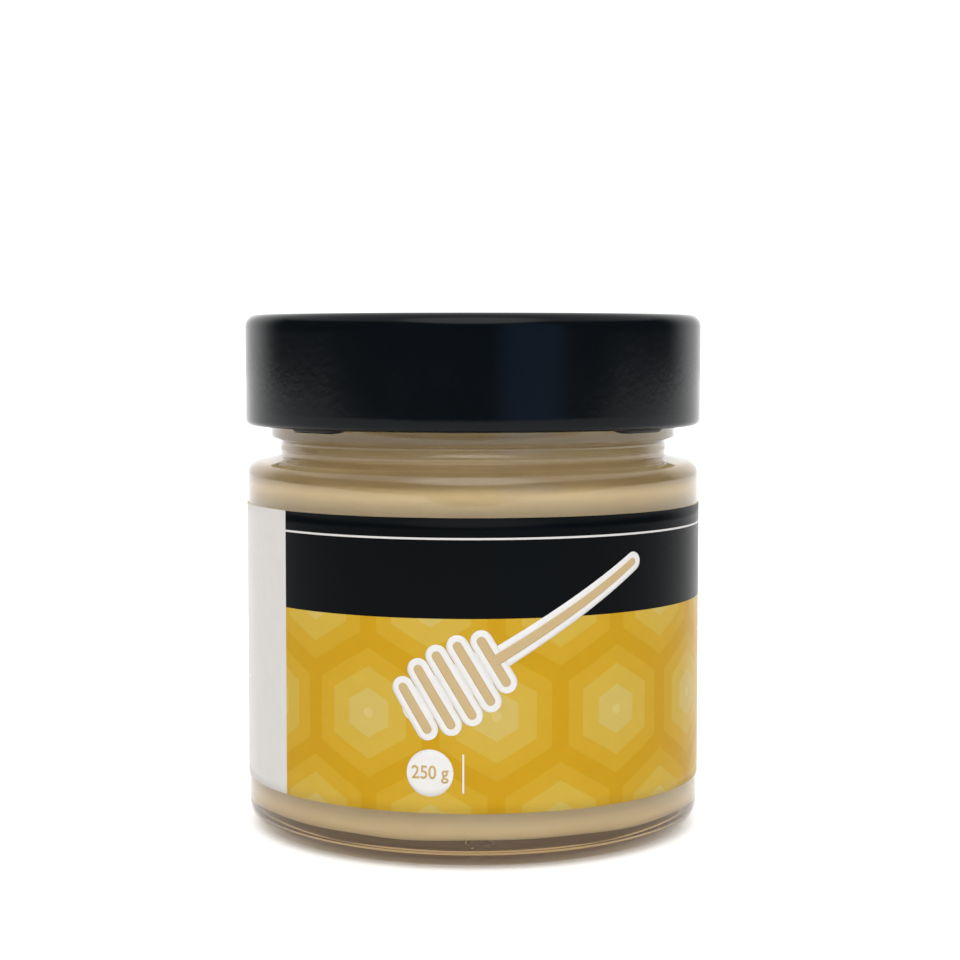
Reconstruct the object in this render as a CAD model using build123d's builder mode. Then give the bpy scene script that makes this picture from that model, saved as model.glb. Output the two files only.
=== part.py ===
from build123d import *
from math import pi, radians, sin, tan
import os

# Honey jar: a round clear glass jar with a twist-off steel lid, a wrapped paper label and
# honey inside. Millimetres, +Z up, origin on the jar's axis in the plane that it stands on.
# The front of the label faces -Y.

# Glass body
body_radius = 35.75
body_wall = 3.2
heel_radius = 4.2
contact_ring_width = 3.0
contact_ring_round = 0.4
base_lip = 0.7
base_push_up = 1.6
base_thickness = 3.5
floor_heel_radius = 3.2
floor_flat_radius = 13.0
floor_round = 18.0

# Shoulder, from the straight body to the foot of the neck
shoulder_top = 58.55
shoulder_slope = 13.0
shoulder_radius = 2.2
shoulder_inner_radius = 2.6
shoulder_bore_round = 2.0

# Neck, and the finish that carries the thread ridges and the rim
finish_inset = 3.7
finish_height = 19.35
neck_groove_depth = 1.45
neck_groove_height = 2.4
neck_wall = 2.8
neck_foot_round = 0.3
finish_step = 0.55
finish_step_round = 0.35
rim_round = 1.1

# Thread ridges, one above each lug
ridge_depth = 1.5
ridge_height = 2.4
ridge_crest_height = 1.1
ridge_arc = 64.0
ridge_tilt = 3.2
ridge_root = 0.4
ridge_end_round = 1.2

# Lid, drawn from one steel sheet
lid_finish_clearance = 3.95
lid_height = 17.2
lid_sheet = 0.3
lid_corner_radius = 1.8
lid_panel_recess = 0.5
lid_panel_step = 0.9
lid_panel_round = 0.6
lid_panel_clearance = 0.4
curl_radius = 0.95

# Lugs, pressed inwards out of the lid's rolled edge
lug_count = 4
lug_width = 11.0
lug_height = 2.0
lug_drop = 0.5
lug_round = 0.55
lug_finish_clearance = 0.7
lug_ridge_clearance = 0.15
lug_turn = -43.0

# Honey
honey_above_lid_edge = 2.6
honey_clearance = 0.02

# Paper label, glued round the body with a gap between its ends at the back
label_heel_margin = 4.3
label_shoulder_margin = 7.25
label_thickness = 0.12
label_clearance = 0.02
label_back_gap = 6.0

# Sizes that follow from the ones above
slope = tan(radians(shoulder_slope))
inner_radius = body_radius - body_wall
ring_outer_radius = body_radius - heel_radius
ring_inner_radius = ring_outer_radius - contact_ring_width
finish_radius = body_radius - finish_inset
neck_radius = finish_radius - neck_groove_depth
neck_bore_radius = neck_radius - neck_wall
finish_start = shoulder_top + neck_groove_height
rim_height = finish_start + finish_height
shoulder_corner = shoulder_top - (body_radius - neck_radius) * slope
wall_drop = body_wall / sin(radians(90 - shoulder_slope))
bore_foot = shoulder_corner + (body_radius - neck_bore_radius) * slope - wall_drop
inner_shoulder = shoulder_corner + body_wall * slope - wall_drop
lid_radius = finish_radius + lid_finish_clearance
lid_top = rim_height + lid_sheet
lid_bottom = lid_top - lid_height
honey_level = lid_bottom + honey_above_lid_edge
label_bottom = heel_radius + label_heel_margin
label_height = shoulder_top - label_shoulder_margin - label_bottom
panel_radius = neck_bore_radius - lid_panel_clearance - lid_panel_step
lug_bottom = lid_bottom - lug_drop
lug_inner_radius = finish_radius + lug_finish_clearance
lug_outer_radius = lid_radius - curl_radius
lug_arc = lug_width / lug_inner_radius * 180 / pi
ridge_fall = lug_inner_radius * sin(radians(lug_arc / 2)) * tan(radians(ridge_tilt))
ridge_foot = lug_bottom + lug_height + lug_ridge_clearance + ridge_fall
ridge_middle = ridge_foot + ridge_height / 2
ridge_taper = (ridge_height - ridge_crest_height) / ridge_depth
ridge_root_height = ridge_height + ridge_root * ridge_taper


def cavity_corners(clearance):
    """Corners of the jar's inside as (radius, height, rounding), from the bore to the axis."""
    return [
        (neck_bore_radius - clearance, bore_foot, shoulder_bore_round),
        (inner_radius - clearance, inner_shoulder, shoulder_inner_radius),
        (inner_radius - clearance, base_thickness + clearance, floor_heel_radius),
        (floor_flat_radius, base_thickness + base_push_up + clearance, floor_round),
        (0, base_thickness + base_push_up + clearance, 0),
    ]


def outer_corners():
    """Corners of the jar's outside as (radius, height, rounding), from the axis to the rim."""
    return [
        (0, base_push_up, 0),
        (floor_flat_radius, base_push_up, floor_round),
        (ring_inner_radius - base_lip, base_lip, base_lip),
        (ring_inner_radius, 0, contact_ring_round),
        (body_radius, 0, heel_radius),
        (body_radius, shoulder_corner, shoulder_radius),
        (neck_radius, shoulder_top, neck_foot_round),
        (neck_radius, finish_start, finish_step_round),
        (finish_radius, finish_start + finish_step, finish_step_round),
        (finish_radius, rim_height, rim_round),
        (neck_bore_radius, rim_height, rim_round),
    ]


def closed_outline(corners):
    """Closed outline through the corners, each with its own rounding."""
    FilletPolyline(
        *[(radius, height) for radius, height, _ in corners],
        radius=[rounding for _, _, rounding in corners],
        close=True,
    )


# One thread ridge, level, starting on +X: a trapezoid in section, its root inside the wall
with BuildPart() as ridge:
    with BuildSketch(Plane.XZ):
        with BuildLine():
            Polyline(
                (finish_radius - ridge_root, -ridge_root_height / 2),
                (finish_radius + ridge_depth, -ridge_crest_height / 2),
                (finish_radius + ridge_depth, ridge_crest_height / 2),
                (finish_radius - ridge_root, ridge_root_height / 2),
                close=True,
            )
        make_face()
    revolve(axis=Axis.Z, revolution_arc=ridge_arc)
    crest_ends = ridge.edges().filter_by(Axis.Z).sort_by_distance((0, 0, 0))[-2:]
    fillet(crest_ends, ridge_end_round)

# One lug, starting on +X, with its outer end inside the rolled edge
with BuildPart() as lug:
    with BuildSketch(Plane.XZ) as lug_section:
        with Locations((lug_inner_radius, lug_bottom)):
            Rectangle(lug_outer_radius - lug_inner_radius, lug_height, align=Align.MIN)
        fillet(lug_section.vertices(), lug_round)
    revolve(axis=Axis.Z, revolution_arc=lug_arc)

# Jar: clear glass, one piece from the standing ring to the rim
with BuildPart() as jar:
    with BuildSketch(Plane.XZ):
        with BuildLine():
            closed_outline(outer_corners() + cavity_corners(0))
        make_face()
    revolve(axis=Axis.Z)
    ridge_place = Location((0, 0, ridge_middle), (ridge_tilt, 0, -ridge_arc / 2))
    with PolarLocations(0, lug_count, start_angle=lug_turn):
        add(ridge.part.moved(ridge_place))

# Honey: fills the inside up to its level behind the lid
with BuildPart() as honey:
    with BuildSketch(Plane.XZ):
        with BuildLine():
            closed_outline(
                [(0, honey_level, 0), (neck_bore_radius - honey_clearance, honey_level, 0)]
                + cavity_corners(honey_clearance)
            )
        make_face()
    revolve(axis=Axis.Z)

# Lid: sheet steel cap resting on the rim, its lower edge rolled inwards, with lugs
with BuildPart() as lid:
    with BuildSketch(Plane.XZ):
        with BuildLine() as sheet:
            FilletPolyline(
                (0, lid_top - lid_panel_recess),
                (panel_radius, lid_top - lid_panel_recess),
                (panel_radius + lid_panel_step, lid_top),
                (lid_radius, lid_top),
                (lid_radius, lid_bottom + curl_radius),
                radius=[lid_panel_round, lid_panel_round, lid_corner_radius],
            )
            offset(amount=lid_sheet, side=Side.RIGHT)
        make_face()
        with Locations((lid_radius - curl_radius, lid_bottom + curl_radius)):
            Circle(curl_radius)
    revolve(axis=Axis.Z)
    with PolarLocations(0, lug_count, start_angle=lug_turn - lug_arc / 2):
        add(lug.part)

# Label: paper round the straight body, open at the back
with BuildPart() as label:
    with BuildSketch(Plane.XY.offset(label_bottom)):
        Circle(body_radius + label_clearance + label_thickness)
        Circle(body_radius + label_clearance, mode=Mode.SUBTRACT)
        with Locations((0, body_radius)):
            Rectangle(label_back_gap, body_radius, mode=Mode.SUBTRACT)
    extrude(amount=label_height)

os.makedirs("parts", exist_ok=True)
for name, piece in (("jar", jar), ("honey", honey), ("lid", lid), ("label", label)):
    piece.part.label = name
    export_step(piece.part, f"parts/{name}.step")
    print(name, "volume mm3", round(piece.part.volume, 1))
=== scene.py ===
import math

import bmesh
import bpy
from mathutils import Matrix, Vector


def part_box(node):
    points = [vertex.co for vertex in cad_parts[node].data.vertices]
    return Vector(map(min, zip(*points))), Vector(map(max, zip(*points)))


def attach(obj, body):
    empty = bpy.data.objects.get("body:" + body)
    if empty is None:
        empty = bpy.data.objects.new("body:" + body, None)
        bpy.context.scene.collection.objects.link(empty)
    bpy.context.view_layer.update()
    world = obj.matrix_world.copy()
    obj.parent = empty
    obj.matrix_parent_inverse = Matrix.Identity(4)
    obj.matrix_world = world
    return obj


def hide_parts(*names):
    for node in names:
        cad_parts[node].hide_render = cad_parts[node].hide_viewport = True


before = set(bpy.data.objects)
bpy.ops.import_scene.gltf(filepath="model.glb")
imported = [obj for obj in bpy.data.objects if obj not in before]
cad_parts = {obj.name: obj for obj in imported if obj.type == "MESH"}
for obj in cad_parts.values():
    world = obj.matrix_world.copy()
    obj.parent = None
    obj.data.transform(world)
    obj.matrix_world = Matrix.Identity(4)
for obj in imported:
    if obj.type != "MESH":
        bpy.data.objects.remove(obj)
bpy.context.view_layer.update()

scene = bpy.context.scene
MM = 0.001

# ---------------------------------------------------------------------------
# Glass jar: clear pressed glass in one piece, from its standing ring to the
# rim. It is turned from one rounded outline, a little uneven on its inside.
# ---------------------------------------------------------------------------
jar_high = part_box("jar")[1]
body_radius = jar_high.x / MM
rim_height = jar_high.z / MM
body_wall = 3.2
ring_radius = 28.55
ring_lip = 0.7
ring_round = 0.4
heel_round = 4.2
shoulder_top = 58.55
shoulder_angle = math.radians(13.0)
shoulder_round = 2.2
neck_radius = 30.6
neck_foot_round = 0.3
bore_radius = 27.8
bore_foot_round = 2.0
mould_line = 59.6
mould_line_half = 0.1
mould_line_depth = 0.06
finish_radius = 32.05
finish_foot = 60.95
finish_start = 61.5
finish_round = 0.35
rim_round = 1.1
inner_shoulder_round = 2.6
floor_height = 3.5
floor_heel_round = 3.2
floor_flat = 13.0
floor_round = 18.0
push_up = 1.6
shoulder_slope = math.tan(shoulder_angle)
shoulder_corner = shoulder_top - (body_radius - neck_radius) * shoulder_slope
inner_radius = body_radius - body_wall
wall_drop = body_wall / math.cos(shoulder_angle)
uneven_top = 57.0


def rounded(corners, step=1.2, arc_points=7):
    """Points of a closed outline through (radius, height, rounding) corners."""
    points = []
    count = len(corners)
    for i in range(count):
        before = Vector(corners[i - 1][:2])
        here = Vector(corners[i][:2])
        after = Vector(corners[(i + 1) % count][:2])
        rounding = corners[i][2]
        back, onward = (before - here).normalized(), (after - here).normalized()
        half = back.angle(onward) / 2
        if rounding:
            reach = rounding / math.tan(half)
            centre = here + (back + onward).normalized() * (rounding / math.sin(half))
            start, end = here + back * reach - centre, here + onward * reach - centre
            sweep = start.angle_signed(end)
            for k in range(arc_points + 1):
                turn = -sweep * k / arc_points
                spin = Vector((start.x * math.cos(turn) - start.y * math.sin(turn),
                               start.x * math.sin(turn) + start.y * math.cos(turn)))
                points.append(centre + spin)
        else:
            points.append(here)
    filled = []
    for i, point in enumerate(points):
        following = points[(i + 1) % len(points)]
        pieces = max(1, round((following - point).length / step))
        filled += [point.lerp(following, k / pieces) for k in range(pieces)]
    return filled


def turned(name, outline, uneven=None, segments=168):
    """A closed solid turned round the Z axis from an outline in millimetres."""
    mesh = bmesh.new()
    rings = []
    for point in outline:
        if point.x < 1e-6:
            rings.append([mesh.verts.new((0, 0, point.y * MM))])
            continue
        ring = []
        for k in range(segments):
            angle = 2 * math.pi * k / segments
            radius, height = uneven(point, angle) if uneven else point
            ring.append(mesh.verts.new((radius * MM * math.cos(angle),
                                        radius * MM * math.sin(angle), height * MM)))
        rings.append(ring)
    for i, ring in enumerate(rings):
        other = rings[(i + 1) % len(rings)]
        if len(ring) == 1 and len(other) == 1:
            continue
        for k in range(segments):
            corners = [ring[k % len(ring)], ring[(k + 1) % len(ring)],
                       other[(k + 1) % len(other)], other[k % len(other)]]
            mesh.faces.new(list(dict.fromkeys(corners)))
    bmesh.ops.recalc_face_normals(mesh, faces=mesh.faces)
    data = bpy.data.meshes.new(name)
    mesh.to_mesh(data)
    mesh.free()
    for face in data.polygons:
        face.use_smooth = True
    piece = bpy.data.objects.new(name, data)
    scene.collection.objects.link(piece)
    return piece


def inside_uneven(point, angle):
    """The inside of pressed glass wanders by a tenth of a millimetre or so."""
    wander = (0.10 * math.sin(3 * angle + 0.4 + point.y * 0.05)
              + 0.06 * math.sin(7 * angle + 1.7) + 0.03 * math.sin(13 * angle + point.y * 0.2))
    lift = 0.12 * math.sin(5 * angle + 2.0) + 0.07 * math.sin(11 * angle + 0.3)
    edge = max(0.0, 1 - abs(point.y - 54.5) / 3.0) + max(0.0, 1 - abs(point.y - 4.5) / 3.0)
    return point.x + wander, point.y + lift * min(edge, 1.0)


def inside_corners(into_wall=0.0):
    """Outline corners of the inside, from the bore's foot down to the middle of the floor."""
    bore_foot = shoulder_corner + (body_radius - bore_radius) * shoulder_slope - wall_drop
    inner_shoulder = shoulder_corner + body_wall * shoulder_slope - wall_drop
    return [(bore_radius + into_wall, bore_foot + into_wall, bore_foot_round),
            (inner_radius + into_wall, inner_shoulder + into_wall, inner_shoulder_round),
            (inner_radius + into_wall, floor_height - into_wall, floor_heel_round),
            (floor_flat, floor_height + push_up - into_wall, floor_round),
            (0, floor_height + push_up - into_wall, 0)]


def glass_uneven(point, angle):
    """Only the inside wanders; the outside of the jar was shaped by its mould."""
    if point.x < inner_radius + 0.5 and floor_height < point.y < uneven_top:
        return inside_uneven(point, angle)
    return point


outside = [(0, push_up, 0), (floor_flat, push_up, floor_round),
           (ring_radius - ring_lip, ring_lip, ring_lip), (ring_radius, 0, ring_round),
           (body_radius, 0, heel_round), (body_radius, shoulder_corner, shoulder_round),
           (neck_radius, shoulder_top, neck_foot_round),
           (neck_radius, mould_line - mould_line_half, 0),
           (neck_radius + mould_line_depth, mould_line, 0),
           (neck_radius, mould_line + mould_line_half, 0),
           (neck_radius, finish_foot, finish_round), (finish_radius, finish_start, finish_round),
           (finish_radius, rim_height, rim_round), (bore_radius, rim_height, rim_round)]
jar = turned("glass_jar", rounded(outside + inside_corners()), glass_uneven)

clear_glass = bpy.data.materials.new("clear_glass")
clear_glass.use_nodes = True
nodes, links = clear_glass.node_tree.nodes, clear_glass.node_tree.links
glass_shader = nodes["Principled BSDF"]
glass_shader.inputs["Base Color"].default_value = (0.975, 0.985, 0.975, 1)
glass_shader.inputs["Roughness"].default_value = 0.015
glass_shader.inputs["IOR"].default_value = 1.52
glass_shader.inputs["Transmission Weight"].default_value = 1.0
glass_place = nodes.new("ShaderNodeTexCoord")
glass_wave = nodes.new("ShaderNodeTexNoise")
glass_wave.inputs["Scale"].default_value = 90.0
glass_wave.inputs["Detail"].default_value = 1.5
glass_bump = nodes.new("ShaderNodeBump")
glass_bump.inputs["Strength"].default_value = 0.05
glass_bump.inputs["Distance"].default_value = 0.0006
links.new(glass_place.outputs["Object"], glass_wave.inputs["Vector"])
links.new(glass_wave.outputs["Fac"], glass_bump.inputs["Height"])
links.new(glass_bump.outputs["Normal"], glass_shader.inputs["Normal"])
glass_depth = nodes.new("ShaderNodeVolumeAbsorption")
glass_depth.inputs["Color"].default_value = (0.74, 0.62, 0.38, 1)
glass_depth.inputs["Density"].default_value = 55.0
links.new(glass_depth.outputs[0], nodes["Material Output"].inputs["Volume"])
jar.data.materials.append(clear_glass)
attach(jar, "root")
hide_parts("jar")

# ---------------------------------------------------------------------------
# Honey: thick pale creamed honey that fills the jar to just behind the lid's
# lower edge. It reaches a hair into the glass, so no air shows between them.
# ---------------------------------------------------------------------------
honey_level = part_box("honey")[1].z / MM
into_glass = 0.08


def honey_uneven(point, angle):
    """The honey takes the shape of the uneven glass, away from the axis."""
    if point.x > 3.0 and point.y < uneven_top:
        return inside_uneven(point, angle)
    return point


honey_outline = [(0, honey_level, 0), (bore_radius + into_glass, honey_level, 0)]
honey = turned("creamed_honey", rounded(honey_outline + inside_corners(into_glass)), honey_uneven)

creamed = bpy.data.materials.new("creamed_honey")
creamed.use_nodes = True
nodes, links = creamed.node_tree.nodes, creamed.node_tree.links
honey_shader = nodes["Principled BSDF"]
honey_place = nodes.new("ShaderNodeTexCoord")
honey_cloud = nodes.new("ShaderNodeTexNoise")
honey_cloud.inputs["Scale"].default_value = 55.0
honey_cloud.inputs["Detail"].default_value = 4.0
honey_tone = nodes.new("ShaderNodeValToRGB")
honey_tone.color_ramp.elements[0].position = 0.3
honey_tone.color_ramp.elements[0].color = (0.87, 0.66, 0.35, 1)
honey_tone.color_ramp.elements[1].position = 0.75
honey_tone.color_ramp.elements[1].color = (0.92, 0.72, 0.41, 1)
honey_grain = nodes.new("ShaderNodeTexNoise")
honey_grain.inputs["Scale"].default_value = 2200.0
honey_bump = nodes.new("ShaderNodeBump")
honey_bump.inputs["Strength"].default_value = 0.15
honey_bump.inputs["Distance"].default_value = 0.0001
honey_shader.inputs["Roughness"].default_value = 0.5
honey_shader.inputs["IOR"].default_value = 1.49
links.new(honey_place.outputs["Object"], honey_cloud.inputs["Vector"])
links.new(honey_place.outputs["Object"], honey_grain.inputs["Vector"])
links.new(honey_cloud.outputs["Fac"], honey_tone.inputs["Fac"])
links.new(honey_tone.outputs["Color"], honey_shader.inputs["Base Color"])
links.new(honey_grain.outputs["Fac"], honey_bump.inputs["Height"])
links.new(honey_bump.outputs["Normal"], honey_shader.inputs["Normal"])
honey.data.materials.append(creamed)
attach(honey, "root")
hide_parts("honey")

# ---------------------------------------------------------------------------
# Lid: a deep cap drawn from tinplate and lacquered black, with a shallow
# sunk panel on top and its lower edge rolled inwards. It screws down by lugs.
# ---------------------------------------------------------------------------
lid_low, lid_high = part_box("lid")
lid_radius = lid_high.x / MM
lid_top = lid_high.z / MM
lid_height = 17.2
lid_bottom = lid_top - lid_height
sheet = 0.3
corner_round = 1.8
curl = 0.95
curl_turn = 4.4
curl_steps = 14
curl_exit = 1.1
panel_radius = 26.5
panel_recess = 0.5
panel_step = 0.9
panel_round = 0.6
sheet_shift = 0.15
curl_middle = Vector((lid_radius - curl, lid_bottom + curl))
cap_outside = [(0, lid_top - panel_recess, 0), (panel_radius, lid_top - panel_recess, panel_round),
               (panel_radius + panel_step, lid_top, panel_round), (lid_radius, lid_top, corner_round),
               (lid_radius, curl_middle.y, 0)]
cap_roll = []
for k in range(1, curl_steps + 1):
    turn = -curl_turn * k / curl_steps
    cap_roll.append((curl_middle.x + curl * math.cos(turn), curl_middle.y + curl * math.sin(turn), 0))
cap_inside = [(lid_radius - sheet, curl_middle.y + curl_exit, 0),
              (lid_radius - sheet, lid_top - sheet, corner_round - sheet),
              (panel_radius + panel_step + sheet_shift, lid_top - sheet, panel_round - sheet),
              (panel_radius + sheet_shift, lid_top - panel_recess - sheet, panel_round + sheet),
              (0, lid_top - panel_recess - sheet, 0)]
cap = turned("lid_cap", rounded(cap_outside + cap_roll + cap_inside, arc_points=9), segments=192)

lacquer = bpy.data.materials.new("black_lacquer")
lacquer.use_nodes = True
nodes, links = lacquer.node_tree.nodes, lacquer.node_tree.links
lacquer_shader = nodes["Principled BSDF"]
lacquer_shader.inputs["IOR"].default_value = 1.5
lacquer_shader.inputs["Specular IOR Level"].default_value = 0.14
lacquer_place = nodes.new("ShaderNodeTexCoord")
lacquer_cloud = nodes.new("ShaderNodeTexNoise")
lacquer_cloud.inputs["Scale"].default_value = 120.0
lacquer_cloud.inputs["Detail"].default_value = 5.0
lacquer_tone = nodes.new("ShaderNodeValToRGB")
lacquer_tone.color_ramp.elements[0].color = (0.0016, 0.0024, 0.0032, 1)
lacquer_tone.color_ramp.elements[1].color = (0.0034, 0.0046, 0.0058, 1)
lacquer_rough = nodes.new("ShaderNodeMapRange")
lacquer_rough.inputs["To Min"].default_value = 0.10
lacquer_rough.inputs["To Max"].default_value = 0.15
lacquer_peel = nodes.new("ShaderNodeTexNoise")
lacquer_peel.inputs["Scale"].default_value = 900.0
lacquer_bump = nodes.new("ShaderNodeBump")
lacquer_bump.inputs["Strength"].default_value = 0.08
lacquer_bump.inputs["Distance"].default_value = 0.0001
links.new(lacquer_place.outputs["Object"], lacquer_cloud.inputs["Vector"])
links.new(lacquer_place.outputs["Object"], lacquer_peel.inputs["Vector"])
links.new(lacquer_cloud.outputs["Fac"], lacquer_tone.inputs["Fac"])
links.new(lacquer_cloud.outputs["Fac"], lacquer_rough.inputs["Value"])
links.new(lacquer_tone.outputs["Color"], lacquer_shader.inputs["Base Color"])
links.new(lacquer_rough.outputs["Result"], lacquer_shader.inputs["Roughness"])
links.new(lacquer_peel.outputs["Fac"], lacquer_bump.inputs["Height"])
links.new(lacquer_bump.outputs["Normal"], lacquer_shader.inputs["Normal"])
cap.data.materials.append(lacquer)
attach(cap, "root")
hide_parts("lid")

# ---------------------------------------------------------------------------
# Lugs and thread ridges: four lugs pressed out of the lid's rolled edge, each
# under a slanted ridge that is moulded on the glass. Both are set out in a ring.
# ---------------------------------------------------------------------------
lug_count = 4
lug_bottom = lid_low.z / MM
lug_height = 2.0
lug_round = 0.55
lug_end_round = 2.4
lug_gap = 0.7
lug_turn = math.radians(-43.0)
lug_width = math.radians(19.3)
ridge_width = math.radians(64.0)
ridge_tilt = math.tan(math.radians(3.2))
ridge_root = 0.3
ridge_root_half = 1.3
ridge_depth = 1.5
ridge_crest_half = 0.55
ridge_above_lug_foot = 3.66


def arc_bar(name, section, width, slant=0.0, end_round=1.0, steps=24):
    """A bar bent round the Z axis, centred on +X, from a convex section in millimetres."""
    mesh = bmesh.new()
    middle = sum((Vector(point) for point in section), Vector((0, 0))) / len(section)
    rings = []
    for k in range(steps + 1):
        share = k / steps
        from_end = min(share, 1 - share) * width * middle.x
        size = min(1.0, math.sqrt(max(0.02, 1 - max(0.0, 1 - from_end / end_round) ** 2)))
        angle = (share - 0.5) * width
        lift = middle.x * math.sin(angle) * slant
        ring = []
        for point in section:
            radius = middle.x + (point[0] - middle.x) * size
            height = middle.y + (point[1] - middle.y) * size + lift
            ring.append(mesh.verts.new((radius * MM * math.cos(angle),
                                        radius * MM * math.sin(angle), height * MM)))
        rings.append(ring)
    count = len(section)
    for one, two in zip(rings, rings[1:]):
        for k in range(count):
            mesh.faces.new((one[k], one[(k + 1) % count], two[(k + 1) % count], two[k]))
    mesh.faces.new(rings[0])
    mesh.faces.new(rings[-1])
    bmesh.ops.recalc_face_normals(mesh, faces=mesh.faces)
    data = bpy.data.meshes.new(name)
    mesh.to_mesh(data)
    mesh.free()
    for face in data.polygons:
        face.use_smooth = len(face.vertices) == 4
    return bpy.data.objects.new(name, data)


def set_out_in_ring(name, bar, count, turn, material):
    """Copies of a bar, evenly round the axis, joined into one plain mesh."""
    tree = bpy.data.node_groups.new(name + "_ring", "GeometryNodeTree")
    tree.interface.new_socket("Geometry", in_out="OUTPUT", socket_type="NodeSocketGeometry")
    tree.interface.new_socket("Geometry", in_out="INPUT", socket_type="NodeSocketGeometry")
    count_in = tree.interface.new_socket("Count", in_out="INPUT", socket_type="NodeSocketInt")
    turn_in = tree.interface.new_socket("Turn", in_out="INPUT", socket_type="NodeSocketFloat")
    add = tree.nodes.new
    start, end = add("NodeGroupInput"), add("NodeGroupOutput")
    ring = add("GeometryNodePoints")
    place = add("GeometryNodeInstanceOnPoints")
    index, step, angle = add("GeometryNodeInputIndex"), add("ShaderNodeMath"), add("ShaderNodeMath")
    step.operation = "DIVIDE"
    step.inputs[0].default_value = 2 * math.pi
    angle.operation = "MULTIPLY_ADD"
    around = add("ShaderNodeCombineXYZ")
    real, finish = add("GeometryNodeRealizeInstances"), add("GeometryNodeSetMaterial")
    finish.inputs["Material"].default_value = material
    link = tree.links.new
    link(start.outputs["Count"], ring.inputs["Count"])
    link(start.outputs["Count"], step.inputs[1])
    link(index.outputs[0], angle.inputs[0])
    link(step.outputs[0], angle.inputs[1])
    link(start.outputs["Turn"], angle.inputs[2])
    link(angle.outputs[0], around.inputs["Z"])
    link(ring.outputs[0], place.inputs["Points"])
    link(start.outputs["Geometry"], place.inputs["Instance"])
    link(around.outputs[0], place.inputs["Rotation"])
    link(place.outputs[0], real.inputs[0])
    link(real.outputs[0], finish.inputs["Geometry"])
    link(finish.outputs[0], end.inputs[0])
    scene.collection.objects.link(bar)
    ring_maker = bar.modifiers.new("ring", "NODES")
    ring_maker.node_group = tree
    ring_maker[count_in.identifier] = count
    ring_maker[turn_in.identifier] = turn
    bpy.context.view_layer.update()
    made = bpy.data.meshes.new_from_object(bar.evaluated_get(bpy.context.evaluated_depsgraph_get()))
    bpy.data.objects.remove(bar)
    piece = bpy.data.objects.new(name, made)
    scene.collection.objects.link(piece)
    return piece


lug_inner = finish_radius + lug_gap
lug_outer = lid_radius - curl
lug_corners = [(lug_inner, lug_bottom, lug_round), (lug_outer, lug_bottom, lug_round),
               (lug_outer, lug_bottom + lug_height, lug_round),
               (lug_inner, lug_bottom + lug_height, lug_round)]
lug_section = [point[:] for point in rounded(lug_corners, arc_points=4)]
lugs = set_out_in_ring("lid_lugs", arc_bar("lug", lug_section, lug_width, end_round=lug_end_round),
                       lug_count, lug_turn, lacquer)
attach(lugs, "root")

ridge_middle = lug_bottom + ridge_above_lug_foot
ridge_section = [(finish_radius - ridge_root, ridge_middle - ridge_root_half),
                 (finish_radius + ridge_depth, ridge_middle - ridge_crest_half),
                 (finish_radius + ridge_depth, ridge_middle + ridge_crest_half),
                 (finish_radius - ridge_root, ridge_middle + ridge_root_half)]
ridges = set_out_in_ring("thread_ridges", arc_bar("ridge", ridge_section, ridge_width, ridge_tilt),
                         lug_count, lug_turn, clear_glass)
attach(ridges, "root")

# ---------------------------------------------------------------------------
# Label: coated paper glued round the straight body, its two ends a finger's
# width apart at the back. Printed with honeycomb, a black band and a panel.
# ---------------------------------------------------------------------------
label_low, label_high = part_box("label")
label_radius = label_high.x / MM
label_bottom = label_low.z / MM
label_top = label_high.z / MM
paper = 0.12
back_gap = 6.0
label_half = math.pi - back_gap / 2 / label_radius
UV_SCALE = 100.0


def on_label(across, up, lift=0.0):
    """A place on the label: millimetres round it from the middle of its front, and up."""
    angle = across / label_radius
    radius = (label_radius + lift) * MM
    return Vector((radius * math.sin(angle), -radius * math.cos(angle), up * MM))


label_mesh = bmesh.new()
print_map = label_mesh.loops.layers.uv.new("print")
columns, rows = 200, 24
shells = []
for lift in (0.0, -paper):
    shells.append([[label_mesh.verts.new(on_label((2 * i / columns - 1) * label_half * label_radius,
                                                  label_bottom + (label_top - label_bottom) * j / rows,
                                                  lift))
                    for j in range(rows + 1)] for i in range(columns + 1)])
front, back = shells
for i in range(columns):
    for j in range(rows):
        label_mesh.faces.new((front[i][j], front[i + 1][j], front[i + 1][j + 1], front[i][j + 1]))
        label_mesh.faces.new((back[i][j], back[i][j + 1], back[i + 1][j + 1], back[i + 1][j]))
    for j in (0, rows):
        label_mesh.faces.new((front[i][j], back[i][j], back[i + 1][j], front[i + 1][j])).material_index = 1
for j in range(rows):
    for i in (0, columns):
        label_mesh.faces.new((front[i][j], front[i][j + 1], back[i][j + 1], back[i][j])).material_index = 1
bmesh.ops.recalc_face_normals(label_mesh, faces=label_mesh.faces)
for face in label_mesh.faces:
    for loop in face.loops:
        place = loop.vert.co / MM
        across = math.atan2(place.x, -place.y) * label_radius
        loop[print_map].uv = (across / UV_SCALE, place.z / UV_SCALE)
    face.smooth = face.material_index == 0
label_data = bpy.data.meshes.new("paper_label")
label_mesh.to_mesh(label_data)
label_mesh.free()
label = bpy.data.objects.new("paper_label", label_data)
scene.collection.objects.link(label)

# Print: nested hexagons in four golds, the black band with its white line, the white panel
panel_edge = -32.1
band_foot = 36.8
line_height = 48.3
line_width = 0.3
cell = 19.1
row_pitch = 16.54
cell_middle = (3.4, 22.7)
gold_gap = (0.475, 0.265, 0.0095, 1)
gold_outer = (0.50, 0.298, 0.020, 1)
gold_inner = (0.51, 0.34, 0.046, 1)
gold_core = (0.51, 0.375, 0.095, 1)
gold_dot = (0.54, 0.41, 0.135, 1)
paper_white = (0.60, 0.575, 0.55, 1)
band_black = (0.0024, 0.0032, 0.0038, 1)

printed = bpy.data.materials.new("printed_paper")
printed.use_nodes = True
nodes, links = printed.node_tree.nodes, printed.node_tree.links


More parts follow.
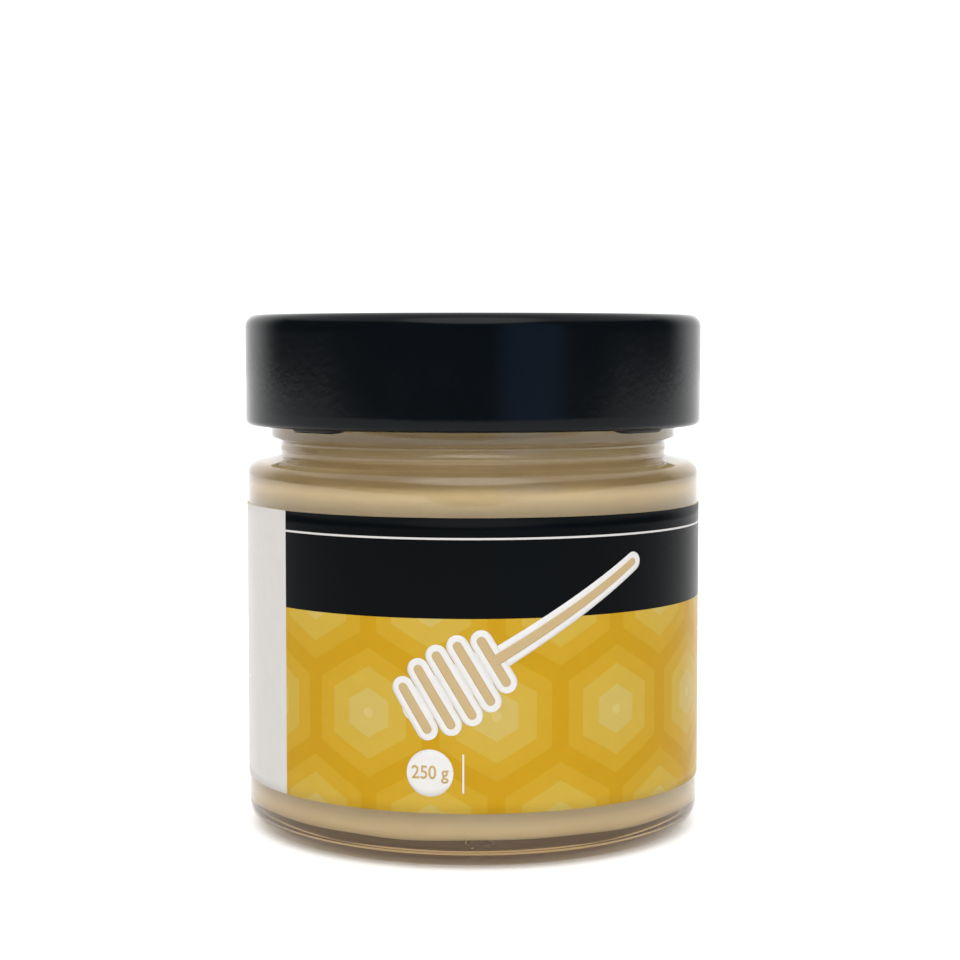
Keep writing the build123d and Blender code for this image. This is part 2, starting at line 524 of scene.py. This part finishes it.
def calc(operation, *values):
    """One Math node; its result goes on to the next."""
    node = nodes.new("ShaderNodeMath")
    node.operation = operation
    for socket, value in zip(node.inputs, values):
        if isinstance(value, (int, float)):
            socket.default_value = value
        else:
            links.new(value, socket)
    return node.outputs[0]


def mix_colour(share, under, over):
    """Lays one colour over another where share is 1."""
    node = nodes.new("ShaderNodeMix")
    node.data_type = "RGBA"
    links.new(share, node.inputs["Factor"])
    for socket, value in (("A", under), ("B", over)):
        target = [s for s in node.inputs if s.name == socket and s.type == "RGBA"][0]
        if isinstance(value, tuple):
            target.default_value = value
        else:
            links.new(value, target)
    return [s for s in node.outputs if s.type == "RGBA"][0]


print_place = nodes.new("ShaderNodeUVMap")
print_place.uv_map = "print"
print_axes = nodes.new("ShaderNodeSeparateXYZ")
links.new(print_place.outputs[0], print_axes.inputs[0])
across = calc("MULTIPLY", print_axes.outputs[0], UV_SCALE)
upward = calc("MULTIPLY", print_axes.outputs[1], UV_SCALE)


def hexagon_reach(middle_across, middle_up):
    """Distance from the nearest hexagon middle of one set of rows, measured to the flats."""
    side = calc("ABSOLUTE", calc("WRAP", calc("SUBTRACT", across, middle_across), cell / 2, -cell / 2))
    height = calc("ABSOLUTE", calc("WRAP", calc("SUBTRACT", upward, middle_up), row_pitch, -row_pitch))
    slanted = calc("ADD", calc("MULTIPLY", side, 0.5), calc("MULTIPLY", height, math.sqrt(0.75)))
    return calc("MAXIMUM", side, slanted)


reach = calc("MINIMUM", hexagon_reach(*cell_middle),
             hexagon_reach(cell_middle[0] + cell / 2, cell_middle[1] + row_pitch))
gold = gold_gap
for half_width, colour in ((8.25, gold_outer), (5.9, gold_inner), (3.2, gold_core), (0.7, gold_dot)):
    gold = mix_colour(calc("LESS_THAN", reach, half_width), gold, colour)
in_band = calc("GREATER_THAN", upward, band_foot)
in_line = calc("LESS_THAN", calc("ABSOLUTE", calc("SUBTRACT", upward, line_height)), line_width / 2)
in_panel = calc("LESS_THAN", across, panel_edge)
field = mix_colour(in_band, gold, band_black)
field = mix_colour(in_line, field, paper_white)
field = mix_colour(in_panel, field, paper_white)
paper_place = nodes.new("ShaderNodeTexCoord")
fibre = nodes.new("ShaderNodeTexNoise")
fibre.inputs["Scale"].default_value = 400.0
fibre.inputs["Detail"].default_value = 6.0
links.new(paper_place.outputs["Object"], fibre.inputs["Vector"])
fibre_share = calc("MULTIPLY_ADD", fibre.outputs["Fac"], 0.08, 0.955)
tinted = nodes.new("ShaderNodeVectorMath")
tinted.operation = "SCALE"
links.new(field, tinted.inputs[0])
links.new(fibre_share, tinted.inputs["Scale"])
paper_bump = nodes.new("ShaderNodeBump")
paper_bump.inputs["Strength"].default_value = 0.12
paper_bump.inputs["Distance"].default_value = 0.00008
links.new(fibre.outputs["Fac"], paper_bump.inputs["Height"])
paper_shader = nodes["Principled BSDF"]
links.new(tinted.outputs[0], paper_shader.inputs["Base Color"])
paper_shader.inputs["Specular IOR Level"].default_value = 0.04
links.new(calc("MULTIPLY_ADD", fibre.outputs["Fac"], 0.10, 0.20), paper_shader.inputs["Roughness"])
links.new(paper_bump.outputs["Normal"], paper_shader.inputs["Normal"])
label_data.materials.append(printed)


def plain_ink(name, colour, roughness=0.4):
    """Flat ink or cut paper with a faint mottle."""
    ink = bpy.data.materials.new(name)
    ink.use_nodes = True
    tree = ink.node_tree
    shader = tree.nodes["Principled BSDF"]
    shader.inputs["Roughness"].default_value = roughness
    place = tree.nodes.new("ShaderNodeTexCoord")
    mottle = tree.nodes.new("ShaderNodeTexNoise")
    mottle.inputs["Scale"].default_value = 500.0
    tone = tree.nodes.new("ShaderNodeValToRGB")
    for element, share in zip(tone.color_ramp.elements, (0.93, 1.04)):
        element.color = tuple(channel * share for channel in colour) + (1,)
    tree.links.new(place.outputs["Object"], mottle.inputs["Vector"])
    tree.links.new(mottle.outputs["Fac"], tone.inputs["Fac"])
    tree.links.new(tone.outputs["Color"], shader.inputs["Base Color"])
    return ink


label_data.materials.append(plain_ink("cut_paper_edge", (0.80, 0.66, 0.36), 0.6))
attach(label, "root")
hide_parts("label")

# ---------------------------------------------------------------------------
# Printed drawing: a honey dipper in bold white line with a beige filling, and
# beside it the white roundel with the weight and a thin upright line.
# ---------------------------------------------------------------------------
white_ink = plain_ink("white_ink", (0.68, 0.66, 0.63))
beige_ink = plain_ink("beige_ink", (0.482, 0.343, 0.161))
ink_film = 0.015


def ink_patch(mesh, start, end, half_width, lift):
    """A patch of ink from start to end on the label, as wide as half_width(share) says."""
    start, end = Vector(start), Vector(end)
    along = (end - start).normalized()
    aside = Vector((-along.y, along.x))
    length = (end - start).length
    steps = max(8, round(length / 0.5))
    lanes = 6
    grid = []
    for i in range(steps + 1):
        share = 0.5 - 0.5 * math.cos(math.pi * i / steps)
        width = half_width(share * length, length)
        row = []
        for j in range(lanes + 1):
            spot = start + along * length * share + aside * width * (2 * j / lanes - 1)
            row.append(mesh.verts.new(on_label(spot.x, spot.y, lift)))
        grid.append(row)
    for one, two in zip(grid, grid[1:]):
        for j in range(lanes):
            mesh.faces.new((one[j], two[j], two[j + 1], one[j + 1]))


def rounded_ends(half_width, taper=0.0):
    """Half width of a bar with round ends."""
    def width(along, length):
        inset = min(along, length - along)
        full = half_width - taper * along / length
        if inset >= full:
            return full
        return max(0.02, math.sqrt(max(0.0, full ** 2 - (full - inset) ** 2)))
    return width


def finish_print(name, mesh, ink):
    """Turns patches of ink into one piece with a film's thickness."""
    bmesh.ops.remove_doubles(mesh, verts=mesh.verts, dist=1e-7)
    bmesh.ops.recalc_face_normals(mesh, faces=mesh.faces)
    for face in mesh.faces:
        outward = Vector((face.calc_center_median().x, face.calc_center_median().y, 0))
        if face.normal.dot(outward) < 0:
            face.normal_flip()
        face.smooth = True
    data = bpy.data.meshes.new(name)
    mesh.to_mesh(data)
    mesh.free()
    piece = bpy.data.objects.new(name, data)
    scene.collection.objects.link(piece)
    data.materials.append(ink)
    film = piece.modifiers.new("film", "SOLIDIFY")
    film.thickness = ink_film * MM
    film.offset = 1.0
    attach(piece, "root")
    return piece


dipper_tip = Vector((-10.0, 22.8))
dipper_way = Vector((math.cos(math.radians(31)), math.sin(math.radians(31))))
dipper_side = Vector((-dipper_way.y, dipper_way.x))
head_length = 17.0
handle_length = 27.0
disc_count = 5
line = 0.95
disc_half = 1.62
disc_reach = 6.6
stem_half = 2.6
handle_half, handle_taper = 1.75, 0.35
handle_filling_half, handle_filling_taper = 0.8, 0.25
white_lift, handle_lift, disc_lift, filling_lift = 0.01, 0.012, 0.014, 0.03

white_marks, beige_marks = bmesh.new(), bmesh.new()
handle_start = dipper_tip + dipper_way * (head_length - 1.0)
handle_end = handle_start + dipper_way * handle_length
ink_patch(white_marks, dipper_tip, handle_start, rounded_ends(stem_half), white_lift)
ink_patch(white_marks, handle_start - dipper_way * 2, handle_end,
          rounded_ends(handle_half, handle_taper), handle_lift)
ink_patch(beige_marks, handle_start - dipper_way, handle_end - dipper_way * line,
          rounded_ends(handle_filling_half, handle_filling_taper), filling_lift)
for k in range(disc_count):
    along = head_length * (k + 0.55) / (disc_count + 0.1)
    reach_out = disc_reach * math.sqrt(1 - ((along - head_length / 2) / (head_length * 0.62)) ** 2)
    middle = dipper_tip + dipper_way * along
    ends = (middle - dipper_side * reach_out, middle + dipper_side * reach_out)
    ink_patch(white_marks, *ends, rounded_ends(disc_half), disc_lift)
    inner = (ends[0] + dipper_side * line, ends[1] - dipper_side * line)
    ink_patch(beige_marks, *inner, rounded_ends(disc_half - line), filling_lift)

roundel_middle = Vector((-6.25, 14.4))
roundel_radius = 3.45
rule_foot, rule_top = Vector((-1.4, 11.5)), Vector((-1.4, 17.2))
rule_half = 0.14
ink_patch(white_marks, roundel_middle - Vector((roundel_radius, 0)),
          roundel_middle + Vector((roundel_radius, 0)), rounded_ends(roundel_radius), white_lift)
ink_patch(white_marks, rule_foot, rule_top, lambda along, length: rule_half, white_lift)
finish_print("dipper_lines", white_marks, white_ink)
finish_print("dipper_filling", beige_marks, beige_ink)

weight_width = 5.4
weight_stretch = 1.1
lettering = bpy.data.curves.new("weight", "FONT")
lettering.body = "250 g"
lettering.align_x, lettering.align_y = "CENTER", "CENTER"
lettering.offset = 0.012
letter_object = bpy.data.objects.new("weight", lettering)
scene.collection.objects.link(letter_object)
bpy.context.view_layer.update()
weight_data = bpy.data.meshes.new_from_object(
    letter_object.evaluated_get(bpy.context.evaluated_depsgraph_get()))
bpy.data.objects.remove(letter_object)
spread = [vertex.co.x for vertex in weight_data.vertices]
weight_scale = weight_width / (max(spread) - min(spread))
for vertex in weight_data.vertices:
    vertex.co = on_label(roundel_middle.x + vertex.co.x * weight_scale,
                         roundel_middle.y + vertex.co.y * weight_scale * weight_stretch, filling_lift)
weight = bpy.data.objects.new("weight_print", weight_data)
scene.collection.objects.link(weight)
weight_data.materials.append(plain_ink("tan_ink", (0.50, 0.33, 0.10)))
weight_film = weight.modifiers.new("film", "SOLIDIFY")
weight_film.thickness = ink_film * MM
weight_film.offset = 1.0
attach(weight, "root")

# ---------------------------------------------------------------------------
# Studio: a pale floor under a sky that is white above and behind, with a soft
# light above the front, a dark front for the lid to mirror, and a blue window.
# ---------------------------------------------------------------------------
floor_drop = -0.00005
floor_data = bpy.data.meshes.new("floor")
floor_data.from_pydata([(-3, -0.7, floor_drop), (3, -0.7, floor_drop), (3, 4, floor_drop),
                        (-3, 4, floor_drop)], [], [(0, 1, 2, 3)])
floor = bpy.data.objects.new("floor", floor_data)
scene.collection.objects.link(floor)
floor_paint = bpy.data.materials.new("pale_floor")
floor_paint.use_nodes = True
floor_shader = floor_paint.node_tree.nodes["Principled BSDF"]
floor_shader.inputs["Base Color"].default_value = (0.93, 0.93, 0.93, 1)
floor_shader.inputs["Roughness"].default_value = 0.7
floor_shader.inputs["Emission Color"].default_value = (1, 1, 1, 1)
floor_shader.inputs["Emission Strength"].default_value = 0.22
floor_data.materials.append(floor_paint)

world = bpy.data.worlds.new("studio")
scene.world = world
world.use_nodes = True
nodes, links = world.node_tree.nodes, world.node_tree.links
sky = nodes["Background"]
sky_place = nodes.new("ShaderNodeTexCoord")
sky_axes = nodes.new("ShaderNodeSeparateXYZ")
links.new(sky_place.outputs["Generated"], sky_axes.inputs[0])


def soft_edge(value, start, full):
    """Rises smoothly from 0 at start to 1 at full."""
    node = nodes.new("ShaderNodeMapRange")
    node.interpolation_type = "SMOOTHSTEP"
    node.inputs["From Min"].default_value = start
    node.inputs["From Max"].default_value = full
    links.new(value, node.inputs["Value"])
    return node.outputs[0]


def towards(direction):
    """How far the sky's direction lies towards this one."""
    node = nodes.new("ShaderNodeVectorMath")
    node.operation = "DOT_PRODUCT"
    node.inputs[1].default_value = Vector(direction).normalized()
    links.new(sky_place.outputs["Generated"], node.inputs[0])
    return node.outputs["Value"]


front_dark = (0.05, 0.058, 0.07, 1)
sky_white = (1.2, 1.2, 1.2, 1)
window_blue = (0.22, 0.50, 1.0, 1)
key_white = (3.2, 3.2, 3.2, 1)
window_turn = math.radians(29)
above_or_behind = calc("MAXIMUM", soft_edge(sky_axes.outputs["Z"], 0.40, 0.65),
                       soft_edge(sky_axes.outputs["Y"], 0.35, 0.75))
window = soft_edge(towards((math.sin(window_turn), -math.cos(window_turn), 0)), 0.93, 0.995)
key_light = soft_edge(towards((0, -0.72, 0.69)), 0.80, 0.95)
light = mix_colour(above_or_behind, front_dark, sky_white)
light = mix_colour(window, light, window_blue)
light = mix_colour(key_light, light, key_white)
links.new(light, sky.inputs["Color"])

camera_data = bpy.data.cameras.new("camera")
camera_data.lens = 77.94
camera_data.sensor_width = 36.0
camera_data.shift_x = 0.0073
camera = bpy.data.objects.new("camera", camera_data)
camera.location = (0, -0.3314, 0.0766)
camera.rotation_euler = (math.radians(90 - 3.84), 0, 0)
scene.collection.objects.link(camera)
scene.camera = camera
scene.view_settings.view_transform = "Standard"
